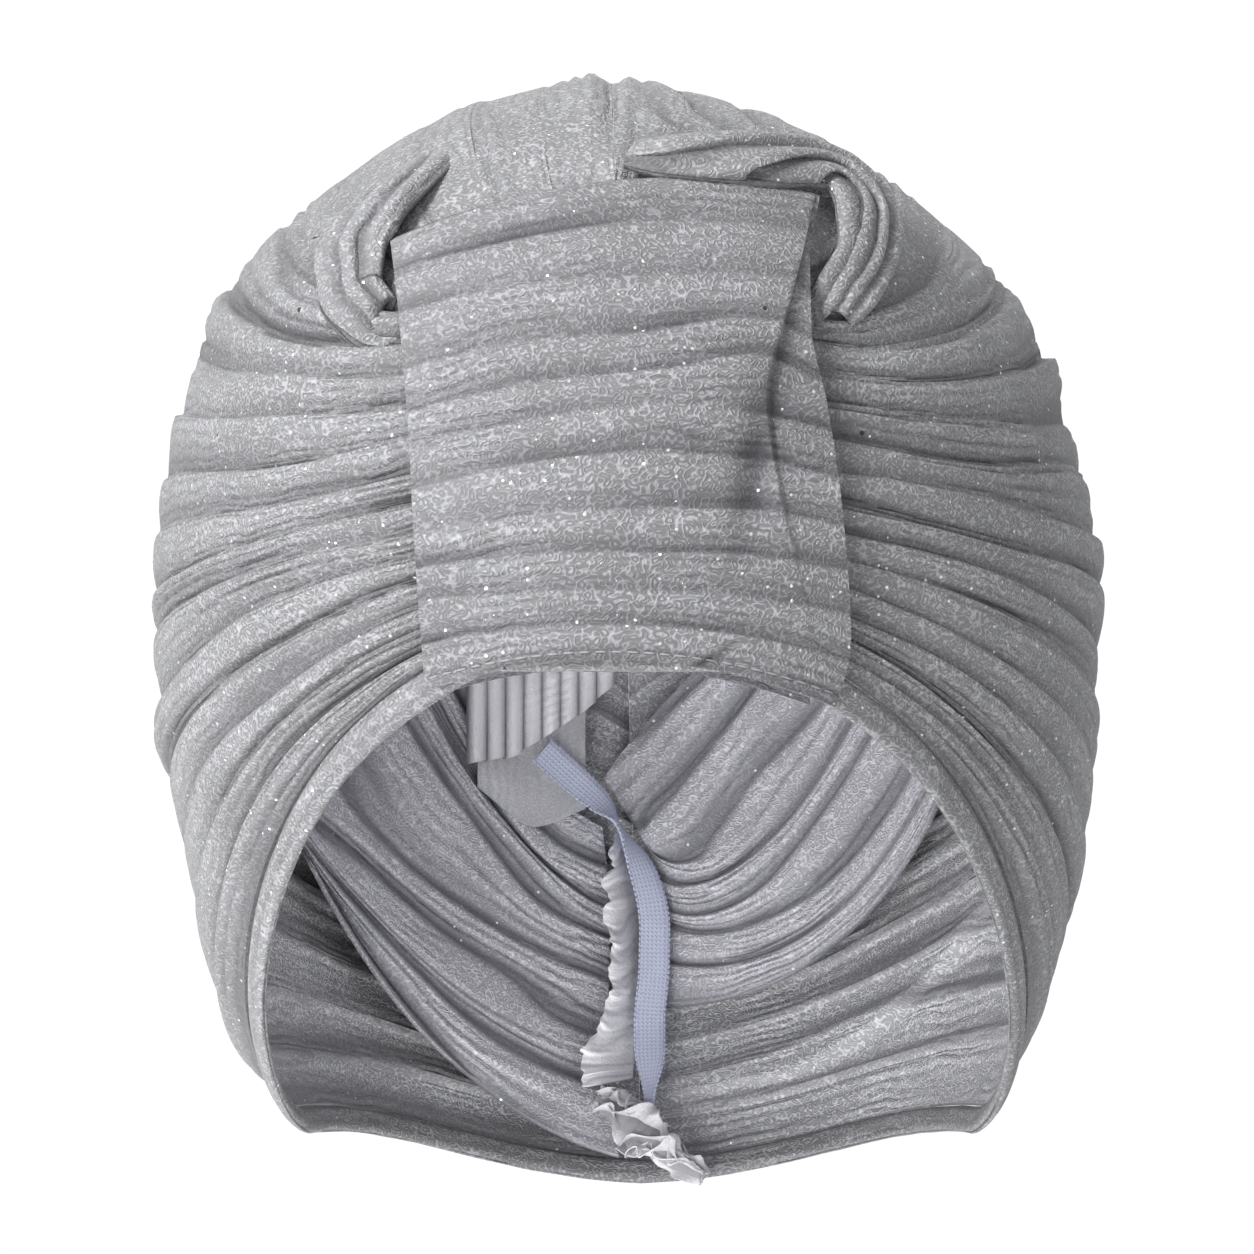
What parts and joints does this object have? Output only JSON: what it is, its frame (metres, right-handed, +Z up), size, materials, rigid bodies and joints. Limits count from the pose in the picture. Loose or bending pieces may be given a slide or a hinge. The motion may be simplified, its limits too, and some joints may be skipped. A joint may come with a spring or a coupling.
{
  "type": "pleated glitter turban hat",
  "caption": "Soft pleated glitter-knit turban hat, wrapped at the front by a wide pleated band, with a gathered inner seam and elastic tape.",
  "frame": {"origin": "head_seat: the middle of the wearer's head, level with the hat's edge on the forehead", "axes": "+X to the viewer's right of the hat's front, +Y to the back of the head, +Z up; the front band faces -Y"},
  "size_m": [0.2045, 0.2405, 0.2493],
  "materials": {
    "crinkle_knit": "crinkled knit with fine metallic glitter, semi-matt",
    "inner_knit": "the same knit, seen from its wrong side, cooler and with less glitter",
    "pale_knit": "thin gathered seam cloth, matt",
    "elastic": "flat woven elastic tape, satin"
  },
  "bodies": {
    "root": {"crown_left": "crinkle_knit", "crown_right": "crinkle_knit", "front_band": "crinkle_knit", "band_lip": "crinkle_knit", "crown_roll_left": "crinkle_knit", "crown_roll_right": "crinkle_knit", "rim_hem": "crinkle_knit", "drape_left": "inner_knit", "drape_right": "inner_knit", "seam_frill": "pale_knit", "seam_knot": "pale_knit", "crown_ruffle": "pale_knit", "ruffle_flap": "pale_knit", "elastic_tape": "elastic"}
  },
  "joints": []
}
